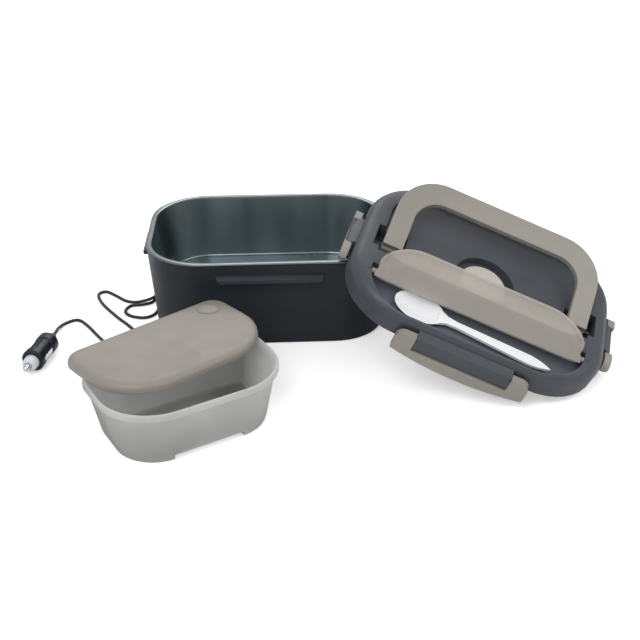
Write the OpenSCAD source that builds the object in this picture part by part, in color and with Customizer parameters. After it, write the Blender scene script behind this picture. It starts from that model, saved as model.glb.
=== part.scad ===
// Electric lunch box: heated base with a lift-out steel tray, a clip-on lid that carries the
// spoon, a D-shaped snack container and a car accessory lead.
// Millimetres, +Z up, origin on the table under the middle of the base.

/* [Base] */
// Length of the base at its rim
body_l = 234; // [210:1:256]
// Width of the base at its rim
body_w = 172; // [160:1:186]
// Corner radius of the base seen from above
corner_r = 56; // [50:1:62]
// Height of the housing's rim
body_h = 85; // [78:1:98]
// Inward lean of the housing wall from rim to table
draft = 7; // [4:0.5:9]
// Wall thickness of the plastic mouldings
wall = 2.4; // [1.8:0.1:3]
// Thickness of the base plate
plate_t = 3; // [2.4:0.1:4]
// Height of the tray's floor above the table
tray_floor_z = 25; // [24:1:32]
// Sheet thickness of the steel tray
tray_t = 0.8; // [0.6:0.1:1.2]
// Thickness of the aluminium heating plate
heat_plate_t = 3; // [2:0.5:4]
// Length of the long catch bars under the rim
catch_l = 100; // [90:1:114]
// Length of the short catch bars under the rim
catch_s = 50; // [40:1:60]

/* [Lid] */
// Height of the lid
lid_h = 24; // [24:0.5:28]
// Gap all round between the tray's lip and the lid's skirt
lid_gap = 0.6; // [0.4:0.1:1]
// Radius of the round well in the middle of the lid
well_r = 28; // [24:0.5:30]
// Radius of the steam vent plug
vent_r = 22; // [18:0.5:23]
// Length of the cutlery compartment
cutlery_l = 200; // [190:1:206]
// Width across the carry handle
handle_w = 196; // [188:1:198]
// Reach of the handle from its pivot to its outer edge
handle_reach = 81; // [74:1:83]
// Width of the handle's flat bar
handle_bar = 22; // [18:0.5:24]
// Width of the handle's two arms
handle_arm = 18.5; // [15:0.5:20]
// Thickness of the handle's flat bar
handle_t = 6; // [5:0.5:7]
// Angle at which the handle stands above the lid
handle_up = 18.5; // [5:0.5:60]
// Angle at which the open cutlery cover leans above the lid
cover_up = 15; // [14:1:40]

/* [Latches] */
// Length of the long hinge brackets on the lid
bracket_l = 86; // [76:1:92]
// Length of the short hinge brackets on the lid
bracket_s = 34; // [28:1:40]
// Width of the ear at each end of a long latch
ear_w = 17; // [14:0.5:18]
// Width of the ear at each end of a short latch
ear_s = 15; // [13:0.5:17]
// Radius of the latch hinge pins
latch_pin_r = 1.5; // [1.2:0.1:1.8]

/* [Spoon] */
// Length of the spoon
spoon_l = 146; // [130:1:160]
// Width of the spoon's bowl
bowl_w = 34; // [30:1:36]

/* [Snack container] */
// Length of the snack container
snack_l = 155; // [140:1:160]
// Width of the snack container
snack_w = 90; // [84:1:96]
// Height of the snack container
snack_h = 51.7; // [46:0.1:56]
// Radius of its two round corners
snack_round_r = 48; // [44:1:52]
// Radius of its two tight corners
snack_tight_r = 14; // [10:1:20]
// Height of the snack container's lid
snack_lid_h = 8; // [7:0.5:10]

/* [Lead] */
// Diameter of the lead
cord_d = 3.2; // [2.8:0.2:3.6]
// Radius of the accessory plug's body
plug_r = 10.5; // [9.5:0.25:10.5]
// Length of the accessory plug's body
plug_l = 40; // [36:1:46]

/* [Hidden] */
$fn = 64;
corner_steps = 10;      // flats round each corner of a swept wall
seat = 0.3;             // clearance between pieces that rest on each other
run = 0.05;             // running clearance of a pin in its bore
half_l = body_l / 2;
half_w = body_w / 2;

charcoal = [0.19, 0.205, 0.22];
slate = [0.30, 0.315, 0.34];
warm_grey = [0.615, 0.59, 0.555];
taupe = [0.64, 0.615, 0.585];
steel = [0.55, 0.60, 0.60];
black = [0.08, 0.08, 0.09];

// ---- outlines and swept walls ----

function arc(cx, cy, r, a) = [for (i = [0:corner_steps])
    [cx + r * cos(a + 90 * i / corner_steps), cy + r * sin(a + 90 * i / corner_steps)]];

// Rounded rectangle of half sizes a and b, with its own radius at the front and back corners
function outline(a, b, rf, rb) = concat(arc(a - rb, b - rb, rb, 0), arc(rb - a, b - rb, rb, 90),
    arc(rf - a, rf - b, rf, 180), arc(a - rf, rf - b, rf, 270));

// One ring of points for each [inset, height] pair of a wall's profile
function rings(profile, a, b, rf, rb) = [for (p = profile)
    [for (q = outline(a - p[0], b - p[0], max(rf - p[0], 1), max(rb - p[0], 1))) [q[0], q[1], p[1]]]];

// Solid through a stack of rings, closed by two caps or joined end to start
module skin(layers, loop = false) {
    n = len(layers[0]);
    m = len(layers);
    sides = [for (k = [0:m - (loop ? 1 : 2)]) for (i = [0:n - 1])
        [k * n + i, (k + 1) % m * n + i, (k + 1) % m * n + (i + 1) % n, k * n + (i + 1) % n]];
    caps = loop ? [] : [[for (i = [0:n - 1]) i], [for (i = [n - 1:-1:0]) (m - 1) * n + i]];
    polyhedron(points = [for (l = layers) each l], faces = concat(sides, caps));
}

// Flat rounded rectangle with true arcs
module plate2d(a, b, r) {
    square([2 * (a - r), 2 * b], center = true);
    square([2 * a, 2 * (b - r)], center = true);
    for (x = [-1, 1], y = [-1, 1])
        translate([x * (a - r), y * (b - r)]) circle(r);
}

// Side k of a box: 0 front, 1 right, 2 back, 3 left, with -Y pointing out of it
module at_side(k, a, b) {
    rotate([0, 0, 90 * k]) translate([0, -(k % 2 == 0 ? b : a), 0]) children();
}

// Cylinder along X between two places, given in either order
module rod_x(r, x0, x1) {
    translate([min(x0, x1), 0, 0]) rotate([0, 90, 0]) cylinder(r = r, h = abs(x1 - x0));
}

// ---- smooth tube through chosen points ----

function bend(p0, p1, p2, p3, t) = 0.5 * (2 * p1 + (p2 - p0) * t
    + (2 * p0 - 5 * p1 + 4 * p2 - p3) * t * t + (3 * p1 - p0 - 3 * p2 + p3) * t * t * t);
function smooth(p, n) = concat([for (i = [0:len(p) - 2]) for (j = [0:n - 1])
    bend(p[max(i - 1, 0)], p[i], p[i + 1], p[min(i + 2, len(p) - 1)], j / n)], [p[len(p) - 1]]);
function unit(v) = v / norm(v);
function tube_rings(p, r, sides) = [for (k = [0:len(p) - 1])
    let (t = unit(p[min(k + 1, len(p) - 1)] - p[max(k - 1, 0)]),
         s = unit(cross(t, [0, 0, 1])), u = cross(t, s))
    [for (i = [0:sides - 1]) p[k] + r * (cos(360 * i / sides) * s + sin(360 * i / sides) * u)]];
module tube(points, r, steps, sides) { skin(tube_rings(smooth(points, steps), r, sides)); }

// ---- base ----

rim_r = corner_r;
lip_out = 0.2;                          // inset of the steel lip from the housing's outline
lip_z = body_h + seat;                  // underside of the steel lip
lip_t = 2;                              // height of the rolled lip
catch_z = body_h - 17;                  // underside of the long catch bars
catch_h = 7.5;
catch_step = 1;                         // how much higher the short catch bars sit
catch_out = 4;                          // how far the catches stand out of the rim's outline
floor_in = draft + 4;                   // inset of the housing's bottom opening
inlet_x = -62;
inlet_z = 14;
inlet_r = 6.3;
inlet_y = half_w - draft * (1 - inlet_z / body_h);   // outer face of the back wall at the inlet
post_x = 62;
post_y = 36;
post_r = 5;
carrier_z = plate_t + 5;
carrier_t = 2;
heat_z = tray_floor_z - tray_t - seat - heat_plate_t;  // underside of the heating plate

module catch_bar(len, up) {
    slope = 5;
    translate([0, 0, up]) intersection() {
        rotate([90, 0, 0]) translate([0, 0, -wall - 1]) linear_extrude(wall + 1 + catch_out)
            polygon([[-len / 2 + slope, catch_z], [len / 2 - slope, catch_z],
                [len / 2, catch_z + catch_h], [-len / 2, catch_z + catch_h]]);
        rotate([90, 0, 90]) translate([0, 0, -len / 2]) linear_extrude(len)
            polygon([[wall + 1, catch_z], [1 - catch_out, catch_z], [-catch_out, catch_z + 1],
                [-catch_out, catch_z + catch_h - 3], [0.5, catch_z + catch_h], [wall + 1, catch_z + catch_h]]);
    }
}

module housing() color(charcoal) {
    profile = [[draft + 2.4, 0], [draft + 0.7, 0.6], [draft, 2.4], [1, body_h - 0.8], [1.4, body_h],
        [wall + 0.6, body_h], [wall + 1, body_h - 0.8], [draft + wall, carrier_z - 2],
        [draft + 13, carrier_z - 2], [draft + 13, plate_t + seat], [floor_in, plate_t + seat], [floor_in, 0]];
    difference() {
        union() {
            skin(rings(profile, half_l, half_w, rim_r, rim_r), loop = true);
            for (k = [0:3]) at_side(k, half_l, half_w)
                catch_bar(k % 2 == 0 ? catch_l : catch_s, k % 2 * catch_step);
        }
        translate([inlet_x, half_w + 1, inlet_z]) rotate([90, 0, 0])
            cylinder(r = inlet_r + run, h = draft + wall + 3);
        for (p = screw_places) translate([p[0], p[1], -1]) cylinder(r = 1.3, h = 12);
    }
}

screw_places = [for (x = [-1, 0, 1], y = [-1, 1])
    [x * (half_l - corner_r + 12), y * (half_w - floor_in - (x == 0 ? 5 : 8))]];
screw_r = 1.25;
screw_head_r = 3;
screw_head_t = 1.2;
screw_l = 5.4;                          // length of a base screw with its head

module base_plate() color(charcoal) {
    difference() {
        union() {
            linear_extrude(plate_t) plate2d(half_l - floor_in - seat, half_w - floor_in - seat, rim_r - floor_in);
            for (x = [-1, 1], y = [-1, 1]) translate([x * post_x, y * post_y, 0])
                cylinder(r = post_r + 1, h = carrier_z - seat);
        }
        for (p = screw_places) translate([p[0], p[1], -1]) {
            cylinder(r = screw_r + 0.3, h = plate_t + 2);
            cylinder(r = screw_head_r + 0.3, h = 2.6);
        }
        for (x = [-1, 1], y = [-1, 1]) translate([x * foot_x, y * foot_y, -1]) cylinder(r = foot_r + 0.1, h = 2);
    }
}

foot_x = 70;
foot_y = 50;
foot_r = 7;

module rubber_feet() color(black) {
    for (x = [-1, 1], y = [-1, 1]) translate([x * foot_x, y * foot_y, 0]) cylinder(r = foot_r, h = 1);
}

module base_screws() color("silver") {
    for (p = screw_places) translate([p[0], p[1], 0.2]) difference() {
        union() {
            cylinder(r = screw_head_r, h = screw_head_t);
            cylinder(r = screw_r, h = screw_l);
        }
        for (a = [0, 90]) rotate([0, 0, a]) translate([-1.8, -0.35, -1]) cube([3.6, 0.7, 1.6]);
    }
}

heater_in = 28;                         // inset of the heating plate and its carrier from the rim
pad_in = 32;                            // inset of the insulation pad
pad_t = 3.5;
ptc_l = 36;
ptc_w = 24;
ptc_t = 4.6;
ptc_x = 34;

module heater_carrier() color([0.5, 0.48, 0.44]) {
    translate([0, 0, carrier_z]) linear_extrude(carrier_t)
        plate2d(half_l - heater_in, half_w - heater_in, rim_r - heater_in);
    for (x = [-1, 1], y = [-1, 1]) translate([x * post_x, y * post_y, carrier_z])
        cylinder(r = post_r, h = heat_z - carrier_z - seat);
}

module insulation_pad() color([0.85, 0.83, 0.78]) {
    difference() {
        translate([0, 0, carrier_z + carrier_t]) linear_extrude(pad_t)
            plate2d(half_l - pad_in, half_w - pad_in, rim_r - pad_in);
        for (x = [-1, 1], y = [-1, 1]) translate([x * post_x, y * post_y, carrier_z])
            cylinder(r = post_r + 0.5, h = 10);
    }
}

module heating_plate() color([0.75, 0.76, 0.77]) {
    translate([0, 0, heat_z]) linear_extrude(heat_plate_t)
        plate2d(half_l - heater_in, half_w - heater_in, rim_r - heater_in);
}

module ptc_heaters() color([0.85, 0.82, 0.7]) {
    for (x = [-1, 1]) translate([x * ptc_x - ptc_l / 2, -ptc_w / 2, heat_z - ptc_t]) cube([ptc_l, ptc_w, ptc_t]);
}

module thermostat() color([0.15, 0.12, 0.1]) {
    translate([0, 0, heat_z - 4]) {
        cylinder(r = 8, h = 4);
        translate([-3, -3, -1]) cube([6, 6, 2]);
    }
}

module thermal_fuse() color("white") {
    translate([0, 28, heat_z - 2]) rod_x(2, -8, 8);
}

lead_z = heat_z - 3;
inlet_end = half_w - heater_in + 2;     // the inlet's barrel ends before the heater's carrier
inner_leads = [
    [[inlet_x + 3, inlet_end - 0.4, inlet_z + 1.5], [inlet_x + 4, inlet_end - 8, inlet_z + 1.3], [-44, 32, lead_z],
        [-42, 22, lead_z], [-42, ptc_w / 2 + 0.1, lead_z]],
    [[inlet_x - 1, inlet_end - 0.4, inlet_z + 1.5], [inlet_x, inlet_end - 10, inlet_z + 1.4], [-34, 30, heat_z - 2],
        [-18, 28, heat_z - 2], [-8.1, 28, heat_z - 2]]];
module heater_leads() color([0.7, 0.1, 0.08]) {
    for (p = inner_leads) tube(p, 0.8, 2, 8);
}

module power_inlet() color(black) {
    translate([inlet_x, inlet_y, inlet_z]) rotate([90, 0, 0]) difference() {
        union() {
            translate([0, 0, 0.2 - wall]) cylinder(r = inlet_r, h = inlet_y - inlet_end + wall);
            translate([0, 0, -wall - 0.8]) cylinder(r = inlet_r + 1.6, h = 1.4);
        }
        translate([0, 0, -wall - 2]) cylinder(r = 4.2, h = 14);
    }
}

module steel_tray() color(steel) {
    low = draft + 8;                    // inset of the tray's wall at its floor
    profile = [[low + 3.5, tray_floor_z - tray_t], [low + 1.2, tray_floor_z - 0.2], [low, tray_floor_z + 2],
        [wall + 2.6, lip_z], [lip_out + 0.4, lip_z], [lip_out, lip_z + 0.7], [lip_out + 0.5, lip_z + lip_t - 0.3],
        [lip_out + 1.6, lip_z + lip_t], [wall + 2, lip_z + lip_t], [wall + 3.2, lip_z + lip_t - 0.8],
        [wall + 3.6, lip_z - 0.5], [low + tray_t, tray_floor_z + 2.3], [low + 2, tray_floor_z + 0.6],
        [low + 4, tray_floor_z]];
    skin(rings(profile, half_l, half_w, rim_r, rim_r));
}

// ---- lid ----
// The lid's own frame has its origin at the middle of the skirt's lower edge.

lid_a = half_l - lip_out + lid_gap + wall;
lid_b = half_w - lip_out + lid_gap + wall;
lid_r = rim_r - lip_out + lid_gap + wall;
lean_side = 14.8;                       // the lid also leans towards the front
lean_yaw = -13.5;
lean_rise = 1.242;                      // left latch on the lip, right latch on the table
lean_reach = 8.6;                       // how much further apart than the lid's length they touch
lean = asin((lip_z + lip_t + lean_rise) / (2 * lid_a + lean_reach));
lid_turn = [lean_side, lean, lean_yaw];
lid_at = [half_l - 39.325 + cos(lean_yaw) * cos(lean) * lid_a,
    8.127 - half_w + sin(lean_yaw) * cos(lean) * lid_a, 15.229 + sin(lean) * (lid_a + lean_reach / 2)];
handle_v = -8;                          // handle pivot, across and up
handle_w_z = lid_h - 8;
panel_z = lid_h - 4.6;                  // recessed panel inside the handle
plate_z = panel_z + seat - handle_w_z;  // folded down, the handle's bar rests on the recessed panel
handle_top = plate_z + handle_t;        // top of the handle's arms above their pivot
panel_a = handle_w / 2 + 2;
panel_back = handle_v + handle_reach + 2.5;
panel_front = -24;
eye_r = 4.5;
handle_pin_r = 2;
pocket_out = panel_a + 6;
pocket_in = handle_w / 2 - handle_arm - 2.2;
pocket_front = handle_v - handle_top - 0.9;
pocket_back = handle_v + 17.6;
pocket_z = handle_w_z - eye_r - 0.8;
well_z = lid_h - 12;
cutlery_back = -42;
cutlery_front = lid_b - 3.8;
cutlery_z = lid_h - 12.5;
cutlery_r = 41;
cover_gap = 1.2;                        // between the cutlery cover and its compartment
panel_r = 42;
cover_v = cutlery_back - 9;             // cover pivot, across and up
cover_z = lid_h - 1;
cover_pin_r = 1.2;
web = 2;                                // walls of the wells moulded into the lid
latch_y = -6;                           // latch pivot, out of the skirt and up
latch_z = 8.5;
latch_in = -3;                          // inner and outer faces of a latch, out of the skirt
latch_out = -9.8;
latch_top = 13.2;
gasket_z = pocket_z - web - seat;       // the gasket lies under the wells' floors
closed_z = lip_z + lip_t - gasket_z + 0.7;   // skirt's lower edge above the table with the lid shut
hook_t = 1.4;
hook_l = 24;
latch_end_r = 8;
long_bow_r = 260;                       // curve of the lower edge of a long and of a short latch
short_bow_r = 37;
latch_knuckle = 8;                      // how far a latch's pin hole reaches into its ear
latch_drop = closed_z - catch_z + hook_t + 1;   // a shut latch hooks under its catch bar

module on_lid() { translate(lid_at) rotate(lid_turn) children(); }

module half_plate2d(a, b, r, back) {
    intersection() {
        plate2d(a, b, r);
        translate([-a - 1, -b - 1]) square([2 * a + 2, b + 1 + back]);
    }
}

// The hollows of the lid's upper face, made g larger all round and below
module lid_wells(g) {
    top = lid_h + 2;
    translate([0, 0, cutlery_z - g]) linear_extrude(top - cutlery_z + g)
        half_plate2d(cutlery_l / 2 + g, cutlery_front + min(g, 1), cutlery_r, cutlery_back + g);
    translate([0, 0, well_z - g]) cylinder(r = well_r + g, h = top - well_z + g);
    for (x = [-pocket_out, pocket_in]) translate([x - g, pocket_front - g, pocket_z - g])
        cube([pocket_out - pocket_in + 2 * g, pocket_back - pocket_front + 2 * g, top - pocket_z + g]);
}

module panel_cut(g) {
    translate([0, 0, panel_z - g]) linear_extrude(lid_h) intersection() {
        plate2d(panel_a + g, panel_back + g, panel_r);
        translate([-panel_a - g, panel_front - g]) square([2 * (panel_a + g), panel_back - panel_front + 2 * g]);
    }
}

module bracket(len) {
    rotate([90, 0, 90]) translate([0, 0, -len / 2]) linear_extrude(len)
        polygon([[wall - 0.4, -1.2], [-7.5, -1.2], [-9, 0.6], [-9, 8.8], [-7.6, 12.2], [-4.6, 13.6],
            [-1.6, 15.4], [wall - 0.4, 15.4]]);
}

module lid_shell() color(slate) on_lid() {
    top = lid_h;
    outer = [[0, 0], [0, 14], [0.7, 17.5], [2.6, 20.6], [5.5, 22.9], [9, top]];
    inner = [[wall, -1], [wall, 14], [wall + 0.7, 16.6], [wall + 2.4, 19], [wall + 5, top - wall - 0.5],
        [wall + 8, top - wall]];
    difference() {
        union() {
            skin(rings(outer, lid_a, lid_b, lid_r, lid_r));
            for (k = [0:3]) at_side(k, lid_a, lid_b) bracket(k % 2 == 0 ? bracket_l : bracket_s);
        }
        difference() {
            skin(rings(inner, lid_a, lid_b, lid_r, lid_r));
            lid_wells(web);
            panel_cut(web);
        }
        lid_wells(0);
        panel_cut(0);
        for (x = [-1, 1]) translate([0, handle_v, handle_w_z])
            rod_x(handle_pin_r + 0.02, x * (pocket_out + 1.5), x * (pocket_in - 1.5));
        for (x = [-1, 1]) translate([0, cover_v, cover_z])
            rod_x(cover_pin_r + 0.02, x * (cutlery_l / 2 + 3.2), x * (cutlery_l / 2 - 1));
        for (k = [0:3]) at_side(k, lid_a, lid_b) translate([0, latch_y, latch_z]) for (x = [-1, 1])
            rod_x(latch_pin_r + 0.02, x * (bracket_half(k) - 5), x * (bracket_half(k) + 1));
    }
}

function bracket_half(k) = (k % 2 == 0 ? bracket_l : bracket_s) / 2;

liner_z = gasket_z - 3.3;
module lid_liner() color([0.36, 0.375, 0.40]) on_lid() {
    translate([0, 0, liner_z]) linear_extrude(2.6) plate2d(lid_a - 11.5, lid_b - 11.5, lid_r - 11.5);
    translate([0, 0, liner_z + 1.4]) linear_extrude(1.2) plate2d(lid_a - 10.4, lid_b - 10.4, lid_r - 10.4);
}

module lid_gasket() color([0.80, 0.80, 0.80]) on_lid() {
    z = gasket_z;
    profile = [[10, z - 1.9], [10, z], [3, z], [3, z - 0.4], [4.2, z - 0.7], [5.4, z - 0.4], [6.6, z - 0.7],
        [7.8, z - 0.4], [9, z - 0.7]];
    skin(rings(profile, lid_a, lid_b, lid_r, lid_r), loop = true);
}

module vent_plug() color(taupe) on_lid() {
    translate([0, 0, well_z]) rotate_extrude()
        polygon([[0, 0], [vent_r, 0], [vent_r, 2.4], [vent_r - 1.4, 3.8], [4, 3.8], [3, 3], [0, 3]]);
}

module handle_pins() color("silver") on_lid() {
    for (x = [-1, 1]) translate([0, handle_v, handle_w_z])
        rod_x(handle_pin_r, x * (pocket_out + 1.4), x * (pocket_in - 1.4));
}

module cover_pins() color("silver") on_lid() {
    for (x = [-1, 1]) translate([0, cover_v, cover_z])
        rod_x(cover_pin_r, x * (cutlery_l / 2 + 3), x * (cutlery_l / 2 - 6));
}

module latch_pins() color("silver") on_lid() {
    for (k = [0:3]) at_side(k, lid_a, lid_b) translate([0, latch_y, latch_z]) for (x = [-1, 1])
        rod_x(latch_pin_r, x * (bracket_half(k) - 4.8), x * (bracket_half(k) + 8));
}

module handle() color(warm_grey) on_lid() {
    arm = handle_w / 2;
    far = handle_reach - bow_b;
    translate([0, handle_v, handle_w_z]) rotate([handle_up, 0, 0]) difference() {
        union() {
            translate([0, 0, plate_z]) linear_extrude(handle_t) translate([0, far]) difference() {
                half_bow2d(arm, bow_b, 40, far + 2);
                half_bow2d(arm - handle_arm, bow_b - handle_bar, 24, far + 3);
            }
            for (x = [-1, 1]) rod_x(eye_r, x * arm, x * (arm - handle_arm));
            for (x = [-1, 1]) translate([x * (arm - handle_arm / 2) - handle_arm / 2, -1.6, 0])
                cube([handle_arm, 6, plate_z + 1]);
        }
        for (x = [-1, 1]) rod_x(handle_pin_r + run, x * (arm + 1), x * (arm - handle_arm - 1));
    }
}

bow_b = 60;                             // length of the handle's round end

// Bow that is round at its far end and runs straight back towards the pivots
module half_bow2d(a, b, r, tail) {
    intersection() {
        plate2d(a, b, r);
        translate([-a, -1]) square([2 * a, b + 2]);
    }
    translate([-a, -tail]) square([2 * a, tail]);
}

module cutlery_cover() color(warm_grey) on_lid() {
    a = cutlery_l / 2 - cover_gap;
    back = cutlery_back - 3.5;          // short enough to clear the spoon as the cover turns
    deep = 20;                          // swept deeper than the cover, then cut along its hinge side
    front = cutlery_front - cover_gap;
    cover_r = cutlery_r - cover_gap;
    profile = [[14, 6.6], [9.6, 6], [6, 4.6], [3, 2.4], [2, 0], [0, 0], [0.2, 2.2], [2.6, 5.4], [6.6, 7.6],
        [10.4, 8.6], [14, 9]];
    turned([0, cover_v, cover_z], cover_up - 180) difference() {
        union() {
            translate([0, (deep - front) / 2, lid_h - 9])
                skin(rings(profile, a, (front + deep) / 2, cover_r, cover_r));
            for (x = [-1, 1]) translate([0, cover_v, cover_z]) rod_x(2.2, x * a, x * (a - 9));
        }
        for (x = [-1, 1]) translate([0, cover_v, cover_z])
            rod_x(cover_pin_r + run, x * (a + 1), x * (a - 9));
        rotate([90, 0, 90]) translate([0, 0, -a - 1]) linear_extrude(2 * a + 2)
            polygon([[cover_v - 14, lid_h - 10], [cover_v - 4, lid_h - 3.4], [0, lid_h - 3.4], [0, lid_h - 10]]);
        translate([-a - 1, back, lid_h - 10]) cube([2 * a + 2, deep - back + 1, 12]);
    }
}

// Turns the children about an axis along X through the point p
module turned(p, angle) { translate(p) rotate([angle, 0, 0]) translate(-p) children(); }

module latch_clip(k) {
    half = bracket_half(k) + 0.4;
    ear = k % 2 == 0 ? ear_w : ear_s;
    tip = half + ear;
    drop = latch_drop - k % 2 * catch_step;
    bow_r = k % 2 == 0 ? long_bow_r : short_bow_r;
    on_lid() at_side(k, lid_a, lid_b) difference() {
        union() {
            translate([0, latch_in, 0]) rotate([90, 0, 0]) linear_extrude(latch_in - latch_out) intersection() {
                translate([0, (latch_top - drop) / 2]) plate2d(tip, (latch_top + drop) / 2, latch_end_r);
                translate([0, bow_r - drop]) circle(bow_r, $fn = 256);
                union() {
                    translate([-tip, -drop - 1]) square([2 * tip, drop - 0.7]);
                    for (x = [-tip, half]) translate([x, -drop]) square([ear, drop + latch_top]);
                }
            }
            translate([-hook_l / 2, latch_in - 1, -drop + 0.6]) cube([hook_l, 5.2, hook_t]);
        }
        translate([0, latch_y, latch_z]) for (x = [-1, 1])
            rod_x(latch_pin_r + run, x * (half - 1.4), x * (half + latch_knuckle));
    }
}

module latch_front() color(warm_grey) latch_clip(0);
module latch_right() color(warm_grey) latch_clip(1);
module latch_back() color(warm_grey) latch_clip(2);
module latch_left() color(warm_grey) latch_clip(3);

// ---- spoon ----

spoon_at = [-72, -62.5];
spoon_yaw = -3.6;
bowl_l = 46;
tail_w = 5.6;                           // half width of the spoon's handle before its pointed end
tip_l = 22;
tip_c = (tip_l * tip_l - tail_w * tail_w) / (2 * tail_w);
function oval(a, b, z) = [for (i = [0:27]) [a * cos(360 * i / 28), b * sin(360 * i / 28), z]];

module spoon() color([0.89, 0.89, 0.9]) on_lid() {
    translate([spoon_at[0], spoon_at[1], cutlery_z + seat]) rotate([0, 0, spoon_yaw]) {
        translate([bowl_l / 2, 0, 0]) scale([bowl_l / 40, bowl_w / 29, 1]) skin([oval(7, 5, 0), oval(13, 9.5, 0.9),
            oval(17.4, 12.6, 2.4), oval(20, 14.5, 4.9), oval(19.4, 13.9, 5.3), oval(18.2, 12.7, 5.1),
            oval(16, 11.6, 3.6), oval(11, 7.8, 2.2), oval(5, 4, 1.6)]);
        translate([0, 0, 2.6]) linear_extrude(2.4) {
            polygon([[bowl_l - 5, 9], [bowl_l + 3, 4.4], [bowl_l + 12, 3.4], [spoon_l - tip_l, tail_w],
                [spoon_l - tip_l, -tail_w], [bowl_l + 12, -3.4], [bowl_l + 3, -4.4], [bowl_l - 5, -9]]);
            translate([spoon_l - tip_l, 0]) intersection() {
                translate([0, -tip_c]) circle(tip_c + tail_w);
                translate([0, tip_c]) circle(tip_c + tail_w);
                translate([0, -tail_w]) square([tip_l, 2 * tail_w]);
            }
        }
    }
}

// ---- snack container ----

snack_at = [-67, -216, 0];
snack_yaw = 28.7;
snack_draft = 11;
arch_l = 62;                            // the container stands on two end feet
arch_h = 5.6;
snack_lid_at = [-82, -178, snack_h + seat];
snack_lid_yaw = 39.3;

module snack_box() color([0.65, 0.66, 0.665]) translate(snack_at) rotate([0, 0, snack_yaw]) {
    h = snack_h;
    profile = [[snack_draft + 4, 0], [snack_draft + 1, 1], [snack_draft, 4], [3.4, h - 8], [3, h - 6.6],
        [0.4, h - 6], [0, h - 5.2], [0, h - 0.7], [0.6, h], [2.2, h], [2.6, h - 0.7], [5, h - 8],
        [snack_draft + 1.8, 10], [snack_draft + 5, 7.6]];
    difference() {
        skin(rings(profile, snack_l / 2, snack_w / 2, snack_round_r, snack_tight_r));
        translate([-arch_l / 2, -snack_w, -1]) cube([arch_l, 2 * snack_w, arch_h + 1]);
    }
}

snack_vent = [58, 29];
module on_snack_lid() { translate(snack_lid_at) rotate([0, 0, snack_lid_yaw]) children(); }
module snack_box_lid() color(taupe) on_snack_lid() {
    h = snack_lid_h;
    profile = [[7, h - 2], [4.2, h - 2.4], [2.6, h - 3.6], [1.7, 0], [0, 0], [0, h - 4.6], [0.9, h - 2.2],
        [3, h - 0.6], [6.5, h]];
    difference() {
        skin(rings(profile, snack_l / 2 + 1.6, snack_w / 2 + 1.6, snack_round_r + 1.6, snack_tight_r + 1.6));
        translate([snack_vent[0], snack_vent[1], -1]) cylinder(r = 4, h = h + 2);
    }
}

snack_plug_r = 10;
snack_plug_h = 2.4;
dome_r = 26;                            // the vent plug's rounded top
dome_z = snack_plug_h - dome_r;

module snack_vent_plug() color(warm_grey) on_snack_lid() {
    translate([snack_vent[0], snack_vent[1], 0]) {
        translate([0, 0, snack_lid_h + 0.1]) rotate_extrude() polygon(concat([[0, 0], [snack_plug_r, 0]],
            [for (r = [snack_plug_r:-2:0]) [r, dome_z + sqrt(dome_r * dome_r - r * r)]]));
        translate([0, 0, snack_lid_h - 3]) cylinder(r = 3.9, h = 4);
    }
}

// ---- lead and accessory plug ----

cord_r = cord_d / 2;
coil_at = [-8, 146];
coil_in = 19;
coil_out = 26.4;
coil_h = 7;
boot_end = 120;                         // outer end of the connector's boot
// Chosen by hand: from the connector's boot, round the small loop and back to the coil
inner_route = [[-62, 120.4, 14], [-64, 136, 8], [-74, 150, 2], [-90, 152, 1.6], [-106, 138, 1.6],
    [-113, 104, 1.6], [-113, 56, 1.6], [-113, 8, 1.6], [-115, -14, 1.6], [-125, -23, 1.6], [-139, -19, 1.6],
    [-146, -9, 1.6], [-142, 3, 1.6], [-130, 5.5, 1.6], [-120, 12, 1.6], [-117.5, 34, 1.6], [-117.5, 84, 1.6],
    [-113, 136, 1.6], [-90, 168, 1.6], [-50, 176, 1.6], [-8, 174.4, 1.6]];
// From the coil over the other strands, then in loose curves to the plug
outer_route = [[-8, 117.6, 1.6], [-36, 114, 1.6], [-64, 102, 2.4], [-92, 95, 4.8], [-111.5, 76, 5.4],
    [-115.2, 46, 5], [-115.8, 24, 5.2], [-122, 11.5, 5.1], [-136, 10.5, 2], [-148, 14.5, 1.6],
    [-160, 27, 1.6], [-171, 36.5, 1.6], [-178, 30, 1.6], [-171, 9, 1.6], [-153, -20, 1.6], [-136, -44, 1.6],
    [-129, -62, 1.6], [-136, -77, 1.6], [-152, -77, 1.6], [-164, -62, 1.6], [-180, -36, 1.6],
    [-191, -24.5, 1.6], [-202, -31, 1.6], [-206, -46, 4.5], [-204.2, -60, 9.8], [-205, -68.6, 10.6]];

module lead_inner() color(black) tube(inner_route, cord_r, 2, 8);
module lead_outer() color(black) tube(outer_route, cord_r, 2, 8);
module lead_coil() color(black) {
    translate([coil_at[0], coil_at[1], 0]) rotate_extrude()
        translate([coil_in, 0]) square([coil_out - coil_in, coil_h]);
}

module lead_connector() color(black) {
    translate([inlet_x, inlet_y + wall + 0.9, inlet_z]) rotate([-90, 0, 0]) {
        cylinder(r = 5.5, h = 20);
        translate([0, 0, -11]) cylinder(r = 4, h = 12);
    }
}

connector_end = inlet_y + wall + 20.9;
module connector_boot() color(black) {
    translate([inlet_x, connector_end, inlet_z]) rotate([-90, 0, 0]) cylinder(r1 = 4.4, r2 = cord_r + 0.5,
        h = boot_end - connector_end);
}

plug_at = [-205, -69, plug_r + 0.1];
plug_yaw = 167.5;                       // the plug's nose points this way from +Y
boot_l = 10;
module on_plug() { translate(plug_at) rotate([0, 0, plug_yaw]) rotate([-90, 0, 0]) children(); }

module plug_boot() color(black) on_plug() {
    cylinder(r1 = cord_r + 0.5, r2 = 6.5, h = boot_l);
}

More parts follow.
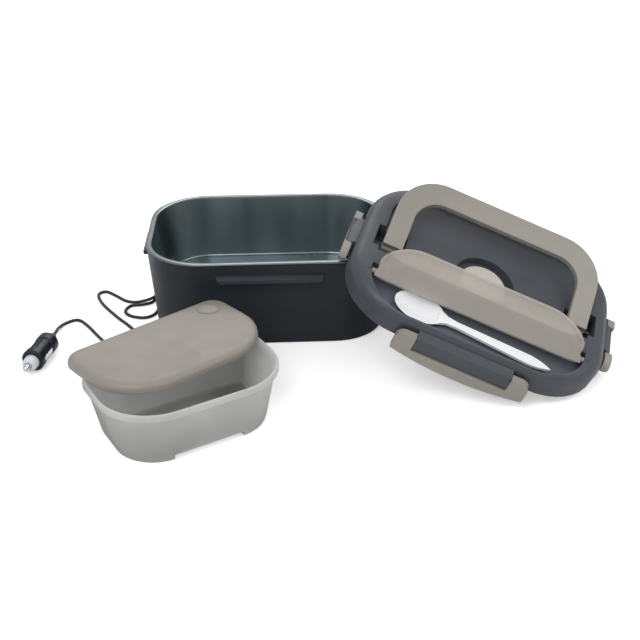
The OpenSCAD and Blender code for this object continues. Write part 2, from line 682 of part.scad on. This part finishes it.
grip_r = plug_r - 0.5;                  // the plug's rear end, and its ribbed barrel
barrel_r = plug_r - 1.6;

module plug_body() color([0.10, 0.11, 0.15]) on_plug() translate([0, 0, boot_l]) difference() {
    union() {
        rotate_extrude() polygon([[0, 0], [7.5, 0], [8.6, 2], [grip_r, 4], [grip_r, 12], [barrel_r, 14],
            [barrel_r, plug_l - 9], [plug_r, plug_l - 7.5], [plug_r, plug_l - 1.5], [barrel_r + 0.6, plug_l],
            [0, plug_l]]);
        for (a = [30:30:150], b = [0, 180]) rotate([0, 0, a + b]) translate([barrel_r - 0.5, -0.5, 13])
            cube([1, 1, plug_l - 21]);
    }
    translate([0, 0, plug_l - 12]) cylinder(r = 4.2, h = 13);
    for (x = [-1, 1]) translate([x * plug_r, 0, plug_l - 14]) cube([3.4, 4.6, 18], center = true);
}

module plug_contacts() color("silver") on_plug() translate([0, 0, boot_l]) {
    for (x = [-1, 1]) translate([x * (plug_r - 1.05), 0, plug_l - 14]) cube([1.1, 4, 16], center = true);
}

module plug_collar() color([0.75, 0.76, 0.78]) on_plug() translate([0, 0, boot_l + plug_l]) difference() {
    rotate_extrude() polygon([[0, 0], [6.8, 0], [6.8, 4.5], [6.2, 7.6], [5.2, 9], [0, 9]]);
    translate([0, 0, -1]) cylinder(r = 4.2, h = 6.5);
    translate([0, 0, -1]) cylinder(r = 3.1, h = 12);
}

tip_r = 3.05;
tip_out = 13;                           // how far the tip contact stands out of the plug

module plug_tip() color("silver") on_plug() translate([0, 0, boot_l + plug_l]) {
    translate([0, 0, -3]) cylinder(r = 4, h = 5);
    cylinder(r = tip_r, h = tip_out);
    translate([0, 0, tip_out]) sphere(r = tip_r);
}

housing();
base_plate();
rubber_feet();
base_screws();
insulation_pad();
heater_carrier();
ptc_heaters();
heating_plate();
thermostat();
thermal_fuse();
heater_leads();
power_inlet();
steel_tray();
lid_shell();
lid_liner();
lid_gasket();
vent_plug();
handle_pins();
handle();
cover_pins();
cutlery_cover();
latch_pins();
latch_front();
latch_right();
latch_back();
latch_left();
spoon();
snack_box();
snack_box_lid();
snack_vent_plug();
lead_connector();
connector_boot();
lead_inner();
lead_coil();
lead_outer();
plug_boot();
plug_body();
plug_contacts();
plug_collar();
plug_tip();
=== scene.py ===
"""Electric lunch box, open, with its lid leaning on the base, a snack container and a 12 V lead.

The rigid parts come from the CAD frame. This script adds the lead, the finish of every surface with
its rounded edges, a white floor, soft studio light and the camera. Lengths are in metres.
"""
import math

import bpy
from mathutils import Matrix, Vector


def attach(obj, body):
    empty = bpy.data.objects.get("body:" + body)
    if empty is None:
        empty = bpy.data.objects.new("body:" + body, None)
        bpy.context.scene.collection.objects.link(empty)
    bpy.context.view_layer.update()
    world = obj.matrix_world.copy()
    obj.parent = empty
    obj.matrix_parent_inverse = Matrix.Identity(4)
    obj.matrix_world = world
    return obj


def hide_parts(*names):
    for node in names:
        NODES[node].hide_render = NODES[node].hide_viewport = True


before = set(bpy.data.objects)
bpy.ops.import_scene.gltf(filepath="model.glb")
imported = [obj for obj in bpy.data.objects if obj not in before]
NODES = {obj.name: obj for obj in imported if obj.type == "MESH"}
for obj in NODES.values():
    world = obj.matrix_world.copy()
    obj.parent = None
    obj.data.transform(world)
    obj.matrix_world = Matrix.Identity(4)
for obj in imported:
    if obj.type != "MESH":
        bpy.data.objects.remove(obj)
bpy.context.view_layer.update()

MM = 0.001
scene = bpy.context.scene


def add_object(name, data):
    obj = bpy.data.objects.new(name, data)
    scene.collection.objects.link(obj)
    return obj


def aim(obj, at, target):
    """Places a camera or a light and turns it towards its target."""
    obj.location = at
    obj.rotation_euler = (Vector(target) - Vector(at)).to_track_quat("-Z", "Y").to_euler()


# ---------------------------------------------------------------- camera, as the photo was taken

CAMERA_AT = Vector((0.6, -905.2, 472.1)) * MM
CAMERA_TARGET = Vector((50.1, 0.0, -18.7)) * MM
CAMERA_LENS = 56.25             # focal length and sensor width in millimetres
CAMERA_SENSOR = 36.0
CAMERA_CLIP = (0.01, 100)


def add_camera():
    data = bpy.data.cameras.new("camera")
    data.lens = CAMERA_LENS
    data.sensor_width = CAMERA_SENSOR
    data.clip_start, data.clip_end = CAMERA_CLIP
    obj = add_object("camera", data)
    aim(obj, CAMERA_AT, CAMERA_TARGET)
    scene.camera = obj


add_camera()

# ---------------------------------------------------------------- lead

CORD_D = 3.2 * MM
CORD_ROUNDNESS = 4
ROUTE_STEPS = 6                 # steps from one point of a route to the next

COIL_AT = Vector((-8, 146, 0)) * MM
COIL_RADII = (24.6 * MM, 20.9 * MM)
COIL_LEVELS = (1.6 * MM, 5.2 * MM)
COIL_TURNS = 4
# Radius and level of each turn: two on the table, the outer one first, then two above them, the
# inner one first. The last entry is what the fourth turn eases into.
COIL_ORDER = [(0, 0), (1, 0), (1, 1), (0, 1), (0, 1)]
COIL_EASE = 0.3                 # last share of a turn, in which it passes over to the next
COIL_START = 80                 # degrees, clockwise from here
COIL_END = -75 - 360 * COIL_TURNS
COIL_STEPS = 26 * COIL_TURNS
COIL_EXIT = 28.2 * MM           # radius at which the lead leaves the coil
COIL_LEAVE = 10                 # last steps, in which it gets there

# From the connector's boot, round the small loop and back to the coil, in millimetres
INNER_ROUTE = [
    (-62, 120.4, 14), (-64, 136, 8), (-74, 150, 2), (-90, 152, 1.6), (-106, 138, 1.6),
    (-113, 104, 1.6), (-113, 56, 1.6), (-113, 8, 1.6), (-115, -14, 1.6), (-125, -23, 1.6),
    (-139, -19, 1.6), (-146, -9, 1.6), (-142, 3, 1.6), (-130, 5.5, 1.6), (-120, 12, 1.6),
    (-117.5, 34, 1.6), (-117.5, 84, 1.6), (-113, 136, 1.6), (-90, 168, 1.6), (-50, 176, 1.6),
    (-22, 170.6, 1.6),
]
# From the coil over the other strands, then in loose curves to the plug
OUTER_ROUTE = [
    (-8, 117.6, 1.6), (-36, 114, 1.6), (-64, 102, 2.4), (-92, 95, 4.8), (-111.5, 76, 5.4),
    (-115.2, 46, 5), (-115.8, 24, 5.2), (-122, 11.5, 5.1), (-136, 10.5, 2), (-148, 14.5, 1.6),
    (-160, 27, 1.6), (-171, 36.5, 1.6), (-178, 30, 1.6), (-171, 9, 1.6), (-153, -20, 1.6),
    (-136, -44, 1.6), (-129, -62, 1.6), (-136, -77, 1.6), (-152, -77, 1.6), (-164, -62, 1.6),
    (-180, -36, 1.6), (-191, -24.5, 1.6), (-202, -31, 1.6), (-206, -46, 4.5), (-204.2, -60, 9.8),
    (-205, -68.6, 10.6),
]


def bend(a, b, c, d, t):
    """Catmull-Rom point between b and c."""
    return 0.5 * (
        2 * b + (c - a) * t + (2 * a - 5 * b + 4 * c - d) * t * t + (3 * b - a - 3 * c + d) * t**3
    )


def smooth(route):
    """Smooth path through a route's points."""
    points = [Vector(p) * MM for p in route]
    last = len(points) - 1
    out = []
    for i in range(last):
        quad = points[max(i - 1, 0)], points[i], points[i + 1], points[min(i + 2, last)]
        out += [bend(*quad, j / ROUTE_STEPS) for j in range(ROUTE_STEPS)]
    return out + [points[last]]


def coil_path():
    """The coil's turns; at its end the lead swings out and comes down to the table."""
    start = math.radians(COIL_START)
    sweep = math.radians(COIL_END - COIL_START)
    out = []
    for i in range(COIL_STEPS + 1):
        angle = start + sweep * i / COIL_STEPS
        turn = -sweep * i / COIL_STEPS / (2 * math.pi)
        k = min(int(turn), COIL_TURNS - 1)
        ease = min(1.0, max(0.0, (turn - k - (1 - COIL_EASE)) / COIL_EASE))
        (ring, level), (next_ring, next_level) = COIL_ORDER[k], COIL_ORDER[k + 1]
        radius = COIL_RADII[ring] * (1 - ease) + COIL_RADII[next_ring] * ease
        height = COIL_LEVELS[level] * (1 - ease) + COIL_LEVELS[next_level] * ease
        leave = max(0.0, (i - COIL_STEPS + COIL_LEAVE) / COIL_LEAVE)
        radius += (COIL_EXIT - radius) * min(1.0, 2 * leave)
        height += (COIL_LEVELS[0] - height) * leave**3
        out.append(COIL_AT + Vector((radius * math.cos(angle), radius * math.sin(angle), height)))
    return out


def add_lead():
    """The whole lead in one run; gives the piece and the point where it leaves the base."""
    path = smooth(INNER_ROUTE) + coil_path() + smooth(OUTER_ROUTE)
    data = bpy.data.curves.new("lead", "CURVE")
    data.dimensions = "3D"
    data.bevel_depth = 1            # times each point's radius
    data.bevel_resolution = CORD_ROUNDNESS
    data.use_fill_caps = True
    spline = data.splines.new("POLY")
    spline.points.add(len(path) - 1)
    for point, place in zip(spline.points, path):
        point.co = (*place, 1)
        point.radius = CORD_D / 2
    return add_object("lead", data), path[0]


lead, lead_exit = add_lead()
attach(lead, "base")
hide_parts("lead_inner", "lead_coil", "lead_outer")

# ---------------------------------------------------------------- colours and shader nodes


def linear(rgb):
    """sRGB bytes to linear colour."""
    return tuple(c / 255 / 12.92 if c <= 10 else ((c / 255 + 0.055) / 1.055) ** 2.4 for c in rgb)


def shade(colour, factor):
    """A darker or lighter shade of a colour."""
    return tuple(min(1.0, c * factor) for c in colour)


def opaque(colour):
    return (*colour, 1)


def feed(tree, value, socket):
    """Links another node's output to a socket, or sets the socket to a constant."""
    if isinstance(value, bpy.types.NodeSocket):
        tree.links.new(value, socket)
    else:
        socket.default_value = value


def number_math(tree, operation, first, second):
    node = tree.nodes.new("ShaderNodeMath")
    node.operation = operation
    feed(tree, first, node.inputs[0])
    feed(tree, second, node.inputs[1])
    return node.outputs["Value"]


def vector_math(tree, operation, first, second=None, result="Vector"):
    """Vector math; the result is "Value" where the operation gives a number."""
    node = tree.nodes.new("ShaderNodeVectorMath")
    node.operation = operation
    feed(tree, first, node.inputs[0])
    if second is not None:
        feed(tree, second, node.inputs[1])
    return node.outputs[result]


def separate(tree, vector):
    """A vector's "X", "Y" and "Z"."""
    node = tree.nodes.new("ShaderNodeSeparateXYZ")
    tree.links.new(vector, node.inputs["Vector"])
    return node.outputs


def map_range(tree, value, start=0.0, end=1.0, low=0.0, high=1.0):
    node = tree.nodes.new("ShaderNodeMapRange")
    limits = {"From Min": start, "From Max": end, "To Min": low, "To Max": high}
    for socket, number in limits.items():
        node.inputs[socket].default_value = number
    tree.links.new(value, node.inputs["Value"])
    return node.outputs["Result"]


def mix(tree, data_type, factor, first, second, blend="MIX"):
    node = tree.nodes.new("ShaderNodeMix")
    node.data_type = data_type
    node.blend_type = blend
    for socket, value in zip(("Factor", "A", "B"), (factor, first, second)):
        feed(tree, value, node.inputs[socket])
    return node.outputs["Result"]


def noise(tree, coords, scale, detail=4.0, rough=0.55, stretch=None):
    if stretch:
        mapping = tree.nodes.new("ShaderNodeMapping")
        mapping.inputs["Scale"].default_value = stretch
        tree.links.new(coords, mapping.inputs["Vector"])
        coords = mapping.outputs["Vector"]
    tex = tree.nodes.new("ShaderNodeTexNoise")
    tex.inputs["Scale"].default_value = scale
    tex.inputs["Detail"].default_value = detail
    tex.inputs["Roughness"].default_value = rough
    tree.links.new(coords, tex.inputs["Vector"])
    return tex.outputs["Fac"]


def ramp(tree, fac, low, high, start=0.35, end=0.65):
    """Maps a factor between two grey levels or two colours."""
    node = tree.nodes.new("ShaderNodeValToRGB")
    as_colour = [c if hasattr(c, "__len__") else (c, c, c) for c in (low, high)]
    for stop, place, colour in zip(node.color_ramp.elements, (start, end), as_colour):
        stop.position = place
        stop.color = opaque(colour)
    tree.links.new(fac, node.inputs["Fac"])
    return node.outputs["Color"]


def bump(tree, shader, heights):
    """Chains (factor, strength, distance) bumps into the shader's normal."""
    previous = None
    for fac, strength, distance in heights:
        node = tree.nodes.new("ShaderNodeBump")
        node.inputs["Strength"].default_value = strength
        node.inputs["Distance"].default_value = distance
        tree.links.new(fac, node.inputs["Height"])
        if previous:
            tree.links.new(previous, node.inputs["Normal"])
        previous = node.outputs["Normal"]
    tree.links.new(previous, shader.inputs["Normal"])


# ---------------------------------------------------------------- kinds of material
# Noise scales are in repeats per metre, bump distances in metres.


def new_material(name):
    """A bare material: itself, its node tree, its shader and the object's coordinates."""
    mat = bpy.data.materials.new(name)
    mat.use_nodes = True
    tree = mat.node_tree
    tree.nodes.clear()
    out = tree.nodes.new("ShaderNodeOutputMaterial")
    shader = tree.nodes.new("ShaderNodeBsdfPrincipled")
    tree.links.new(shader.outputs["BSDF"], out.inputs["Surface"])
    coords = tree.nodes.new("ShaderNodeTexCoord").outputs["Object"]
    return mat, tree, shader, coords


def vary_colour(tree, shader, fac, rgb, darker, lighter):
    """Lets the base colour drift between a darker and a lighter shade of itself."""
    base = linear(rgb)
    tint = ramp(tree, fac, shade(base, darker), shade(base, lighter))
    tree.links.new(tint, shader.inputs["Base Color"])
    return tint


def vary_gloss(tree, shader, fac, smoothest, roughest):
    tree.links.new(ramp(tree, fac, smoothest, roughest), shader.inputs["Roughness"])


def let_through(mat, share, shader_type):
    """Lets a share of the light through by the shader named; gives that shader's colour socket."""
    tree = mat.node_tree
    out = next(n for n in tree.nodes if n.type == "OUTPUT_MATERIAL")
    before = out.inputs["Surface"].links[0].from_socket
    through = tree.nodes.new(shader_type)
    both = tree.nodes.new("ShaderNodeMixShader")
    both.inputs["Fac"].default_value = share
    tree.links.new(before, both.inputs[1])
    tree.links.new(through.outputs["BSDF"], both.inputs[2])
    tree.links.new(both.outputs["Shader"], out.inputs["Surface"])
    return through.inputs["Color"]


def two_tone(mat, measure, start, end, factor):
    """Brightens the surface where a measure of its place has gone from start to end."""
    tree = mat.node_tree
    colour = next(n for n in tree.nodes if n.type == "BSDF_PRINCIPLED").inputs["Base Color"]
    coords = next(n for n in tree.nodes if n.type == "TEX_COORD").outputs["Object"]
    share = map_range(tree, measure(tree, coords), start, end)
    brighter = opaque((factor, factor, factor))
    before = colour.links[0].from_socket
    tree.links.new(mix(tree, "RGBA", share, before, brighter, "MULTIPLY"), colour)
    return mat


def plastic(name, rgb, rough=0.45, grain=2200, grain_depth=0.00006, variation=0.06, specular=0.5):
    """Moulded plastic: fine spark-eroded grain, faint colour drift, patchy gloss, slight waves."""
    mat, tree, shader, coords = new_material(name)
    drift = noise(tree, coords, scale=9, detail=3)
    vary_colour(tree, shader, drift, rgb, 1 - variation, 1 + variation)
    patches = noise(tree, coords, scale=60)
    vary_gloss(tree, shader, patches, rough - 0.05, rough + 0.06)
    shader.inputs["Specular IOR Level"].default_value = specular
    fine = noise(tree, coords, grain, detail=2, rough=0.5)
    waves = noise(tree, coords, scale=18, detail=2)
    bump(tree, shader, [(fine, 0.25, grain_depth), (waves, 0.05, 0.0006)])
    return mat


def rubber(name, rgb, rough=0.6):
    """Matt rubber or cloth: uneven colour, a little sheen and a fine tooth."""
    mat, tree, shader, coords = new_material(name)
    vary_colour(tree, shader, noise(tree, coords, scale=40, detail=3), rgb, 0.85, 1.2)
    vary_gloss(tree, shader, noise(tree, coords, scale=300), rough - 0.08, rough + 0.08)
    shader.inputs["Sheen Weight"].default_value = 0.08
    bump(tree, shader, [(noise(tree, coords, scale=1600, detail=2), 0.3, 0.00005)])
    return mat


def metal(name, rgb, rough, streak=(1, 1, 1)):
    """Plain metal with fine marks; uneven scales in streak draw them out into lines."""
    mat, tree, shader, coords = new_material(name)
    shader.inputs["Metallic"].default_value = 1.0
    lines = noise(tree, coords, scale=500, detail=5, rough=0.6, stretch=streak)
    vary_colour(tree, shader, lines, rgb, 0.93, 1.06)
    vary_gloss(tree, shader, lines, rough - 0.05, rough + 0.07)
    bump(tree, shader, [(lines, 0.25, 0.00002)])
    return mat


def frosted(name, rgb):
    """Milky food-grade plastic: most of the light goes through and comes out scattered."""
    mat, tree, shader, coords = new_material(name)
    tint = vary_colour(tree, shader, noise(tree, coords, scale=16, detail=3), rgb, 0.95, 1.05)
    vary_gloss(tree, shader, noise(tree, coords, scale=220, detail=3), 0.36, 0.5)
    bump(tree, shader, [(noise(tree, coords, scale=900, detail=2), 0.15, 0.00005)])
    tree.links.new(tint, let_through(mat, 0.75, "ShaderNodeBsdfTranslucent"))
    return mat


# The tray's polished lip fades in over these heights
LIP_FROM, LIP_TO = 85.0 * MM, 86.2 * MM
LIP_COLOUR, LIP_ROUGH = (122, 129, 131), 0.28


def tray_steel():
    """Satin steel with a dark tone inside, vertical streaks that are partly brushed grain and
    partly painted reflection, and a polished rolled lip.
    """
    mat, tree, shader, coords = new_material("tray_steel")
    lip = map_range(tree, separate(tree, coords)["Z"], LIP_FROM, LIP_TO)
    # vertical streaks in the colour inside: partly brushed grain, partly painted reflection
    lines = noise(tree, coords, scale=26, detail=2, rough=0.4, stretch=(1, 1, 0.05))
    inside = ramp(tree, lines, linear((106, 118, 121)), linear((140, 150, 153)), 0.25, 0.75)
    colour = mix(tree, "RGBA", lip, inside, opaque(linear(LIP_COLOUR)))
    gloss = mix(tree, "FLOAT", lip, ramp(tree, lines, 0.27, 0.37), LIP_ROUGH)
    tree.links.new(colour, shader.inputs["Base Color"])
    tree.links.new(gloss, shader.inputs["Roughness"])
    shader.inputs["Metallic"].default_value = 1.0
    dents = noise(tree, coords, scale=14, detail=2)
    bump(tree, shader, [(lines, 0.2, 0.00003), (dents, 0.08, 0.0008)])
    return mat


# ---------------------------------------------------------------- lighter places and painted light

# How far the housing's walls reach along and across; its catch bars stand out from there
WALL_REACH = (117 * MM, 86 * MM, 1)

# The lid's own axes
LID_AT = tuple(c * MM for c in (186.5, -104, 59.5))
LID_TURN = tuple(math.radians(a) for a in (14.8, 20.8999, -13.5))
# In them, the cutlery compartment: a box that ends at its back edge, its floor and just below its
# rim, cut to a plate with rounded corners, given by the middle of a corner and its radius
POCKET_MID = tuple(c * MM for c in (0, -87, 16))
POCKET_HALF = tuple(c * MM for c in (110, 45, 6.5))
POCKET_CORNER = (59 * MM, 44.2 * MM, 1)
POCKET_ROUND = 42.6 * MM

# Direction up the open cover from its hinge, and how far along it the painted glow on the lighter
# outer half begins
COVER_RISE = (0.375, 0.8024, 0.4643)
COVER_PAINTED_GLOW_START = (-12.2 * MM, -10.4 * MM)


def beyond_walls(tree, coords):
    """How far a point stands out of the housing's walls."""
    past = vector_math(tree, "SUBTRACT", vector_math(tree, "ABSOLUTE", coords), WALL_REACH)
    past = separate(tree, past)
    return number_math(tree, "MAXIMUM", past["X"], past["Y"])


def in_pocket(tree, coords):
    """How far a point lies outside the cutlery compartment, below zero inside it."""
    lid = tree.nodes.new("ShaderNodeMapping")
    lid.vector_type = "TEXTURE"
    lid.inputs["Location"].default_value = LID_AT
    lid.inputs["Rotation"].default_value = LID_TURN
    tree.links.new(coords, lid.inputs["Vector"])
    place = lid.outputs["Vector"]
    corner = vector_math(tree, "SUBTRACT", vector_math(tree, "ABSOLUTE", place), POCKET_CORNER)
    corner = vector_math(tree, "MAXIMUM", corner, (0, 0, 0))
    off_corner = vector_math(tree, "LENGTH", corner, result="Value")
    off_plate = number_math(tree, "SUBTRACT", off_corner, POCKET_ROUND)
    box = vector_math(tree, "ABSOLUTE", vector_math(tree, "SUBTRACT", place, POCKET_MID))
    off_box = separate(tree, vector_math(tree, "SUBTRACT", box, POCKET_HALF))
    most = number_math(tree, "MAXIMUM", off_plate, off_box["Y"])
    return number_math(tree, "MAXIMUM", most, off_box["Z"])


def up_cover(tree, coords):
    """How far up the open cutlery cover a point lies."""
    return vector_math(tree, "DOT_PRODUCT", coords, COVER_RISE, result="Value")


# ---------------------------------------------------------------- materials


def housing_plastic():
    """Charcoal, a little lighter on the catch bars."""
    mat = plastic("charcoal_plastic", (34, 39, 44), 0.40, specular=0.2)
    return two_tone(mat, beyond_walls, 0, 1 * MM, 1.7)


def lid_plastic_with_painted_light():
    """Slate, with painted light inside the cutlery compartment that brightens away the shade
    falling in it.
    """
    mat = plastic("slate_plastic", (62, 66, 72), 0.42, specular=0.35)
    # painted light: brightens the inside of the cutlery compartment to lift its shade
    return two_tone(mat, in_pocket, 0, -2 * MM, 1.9)


def cover_plastic_with_painted_glow():
    """Cloudy plastic that lets light through from behind and shows a hint of what lies there; the
    glow of its outer half is partly that light and partly painted light.
    """
    rgb = (186, 180, 172)
    # painted light: the outer half of the cover is painted lighter, a painted glow of the light
    # from behind
    mat = two_tone(plastic("cloudy_plastic", rgb, 0.42), up_cover, *COVER_PAINTED_GLOW_START, 1.3)
    let_through(mat, 0.4, "ShaderNodeBsdfTranslucent").default_value = opaque(linear(rgb))
    let_through(mat, 0.36, "ShaderNodeBsdfTransparent")
    return mat


MATERIALS = {
    "charcoal": housing_plastic(),
    "slate": lid_plastic_with_painted_light(),
    "liner": plastic("liner_plastic", (92, 96, 102), 0.45),
    "warm_grey": plastic("warm_grey_plastic", (136, 132, 124), 0.44),
    "cloudy": cover_plastic_with_painted_glow(),
    "taupe": plastic("taupe_plastic", (135, 129, 122), 0.46),
    "vent": plastic("vent_silicone", (176, 170, 163), 0.6),
    "snack": frosted("snack_plastic", (221, 221, 220)),
    "spoon": plastic("spoon_plastic", (226, 227, 229), 0.28,
                     grain=900, grain_depth=0.00002, variation=0.02),
    "black": plastic("black_plastic", (26, 26, 29), 0.32),
    "navy": plastic("navy_plastic", (14, 18, 28), 0.34, specular=0.35),
    "collar": plastic("collar_plastic", (200, 203, 208), 0.30),
    "rubber": rubber("black_rubber", (24, 24, 26), 0.5),
    "silicone": rubber("silicone", (205, 205, 203), 0.55),
    "wire": rubber("wire_red", (160, 30, 26), 0.5),
    "felt": rubber("felt", (205, 200, 188), 0.9),
    "ceramic": plastic("ceramic", (208, 202, 180), 0.6),
    "phenolic": plastic("phenolic", (128, 120, 108), 0.55),
    "steel": tray_steel(),
    "bright": metal("bright_metal", (205, 207, 210), 0.18),
    "screw": metal("screw_steel", (176, 178, 182), 0.32),
    "pin": metal("blackened_steel", (66, 68, 72), 0.45),
    "aluminium": metal("aluminium", (186, 188, 190), 0.35, streak=(1, 12, 1)),
}

FINISH = {
    "charcoal": ["housing", "base_plate"],
    "rubber": ["rubber_feet", "lead_connector", "connector_boot", "plug_boot"],
    "screw": ["base_screws"],
    "pin": ["handle_pins", "cover_pins", "latch_pins"],
    "felt": ["insulation_pad"],
    "phenolic": ["heater_carrier"],
    "ceramic": ["ptc_heaters", "thermal_fuse"],
    "aluminium": ["heating_plate"],
    "black": ["thermostat", "power_inlet"],
    "wire": ["heater_leads"],
    "steel": ["steel_tray"],
    "slate": ["lid_shell"],
    "liner": ["lid_liner"],
    "silicone": ["lid_gasket"],
    "vent": ["vent_plug"],
    "warm_grey": ["handle", "latch_front", "latch_right", "latch_back", "latch_left",
                  "snack_vent_plug"],
    "cloudy": ["cutlery_cover"],
    "taupe": ["snack_box_lid"],
    "spoon": ["spoon"],
    "snack": ["snack_box"],
    "navy": ["plug_body"],
    "bright": ["plug_contacts", "plug_tip"],
    "collar": ["plug_collar"],
}

# Width of the rounded edge on each part, in millimetres
EDGE = {
    "handle": 2.2, "latch_front": 1.0, "latch_right": 1.0, "latch_back": 1.0, "latch_left": 1.0,
    "lid_shell": 0.5, "vent_plug": 0.4, "cutlery_cover": 0.35, "spoon": 0.4,
    "housing": 0.3, "steel_tray": 0.1, "snack_box_lid": 0.3, "snack_vent_plug": 0.3,
    "plug_body": 0.4, "plug_collar": 0.4,
}
EDGE_ELSEWHERE = 0.2
EDGE_SEGMENTS = 3
EDGE_ANGLE = 38                 # degrees; flatter edges stay smooth
WELD_REACH = 0.01 * MM


def dress(node, material):
    """Gives a CAD part its finish, smooth shading and softly rounded edges."""
    obj = NODES[node]
    obj.data.materials.clear()
    obj.data.materials.append(material)
    obj.data.polygons.foreach_set("use_smooth", [True] * len(obj.data.polygons))
    weld = obj.modifiers.new("weld", "WELD")
    weld.merge_threshold = WELD_REACH
    bevel = obj.modifiers.new("edges", "BEVEL")
    bevel.width = EDGE.get(node, EDGE_ELSEWHERE) * MM
    bevel.segments = EDGE_SEGMENTS
    bevel.limit_method = "ANGLE"
    bevel.angle_limit = math.radians(EDGE_ANGLE)
    bevel.harden_normals = True
    normals = obj.modifiers.new("normals", "WEIGHTED_NORMAL")
    normals.keep_sharp = True


for finish, nodes in FINISH.items():
    for node in nodes:
        dress(node, MATERIALS[finish])
lead.data.materials.append(MATERIALS["rubber"])

# ---------------------------------------------------------------- floor, world and lights

FLOOR_REACH = 30.0
FLOOR_GREY = 0.86
FLOOR_ROUGH = 0.9
FLOOR_GLOW = 0.42               # glow that only the camera sees
WORLD_LIGHT = 0.62              # level that lights the object
WORLD_SEEN = 1.0                # level that the camera sees

LIGHT_TARGET = (0.05, -0.05, 0.04)
# Name, place, width and height, power in watts
LIGHTS = [
    ("key", (-0.45, -1.0, 1.3), (0.9, 0.9), 12),
    ("fill", (1.1, -0.5, 0.9), (0.8, 0.8), 5),
    ("back", (0.2, 1.1, 1.1), (1.2, 0.6), 7),
]


def seen_by_camera(tree, low, high):
    """The high level for the camera's own rays, the low one for all others."""
    path = tree.nodes.new("ShaderNodeLightPath")
    return map_range(tree, path.outputs["Is Camera Ray"], low=low, high=high)


def floor_material():
    """White to the camera, pale grey for shadows and bounce."""
    mat = bpy.data.materials.new("floor_white")
    mat.use_nodes = True
    tree = mat.node_tree
    shader = tree.nodes["Principled BSDF"]
    shader.inputs["Base Color"].default_value = opaque((FLOOR_GREY, FLOOR_GREY, FLOOR_GREY))
    shader.inputs["Roughness"].default_value = FLOOR_ROUGH
    shader.inputs["Specular IOR Level"].default_value = 0.0
    shader.inputs["Emission Color"].default_value = opaque((1, 1, 1))
    tree.links.new(seen_by_camera(tree, 0.0, FLOOR_GLOW), shader.inputs["Emission Strength"])
    return mat


def add_floor():
    mesh = bpy.data.meshes.new("floor")
    signs = [(-1, -1), (1, -1), (1, 1), (-1, 1)]
    corners = [(x * FLOOR_REACH, y * FLOOR_REACH, 0) for x, y in signs]
    mesh.from_pydata(corners, [], [(0, 1, 2, 3)])
    mesh.materials.append(floor_material())
    add_object("floor", mesh)


def add_world():
    """Even soft light in front of a white background."""
    world = bpy.data.worlds.new("studio")
    scene.world = world
    world.use_nodes = True
    tree = world.node_tree
    back = tree.nodes["Background"]
    back.inputs["Color"].default_value = opaque((1, 1, 1))
    tree.links.new(seen_by_camera(tree, WORLD_LIGHT, WORLD_SEEN), back.inputs["Strength"])


def add_light(name, at, size, power):
    data = bpy.data.lights.new(name, "AREA")
    data.shape = "RECTANGLE"
    data.size, data.size_y = size
    data.energy = power
    aim(add_object(name, data), at, LIGHT_TARGET)


add_floor()
add_world()
for light in LIGHTS:
    add_light(*light)
scene.view_settings.view_transform = "Standard"

bpy.context.view_layer.update()
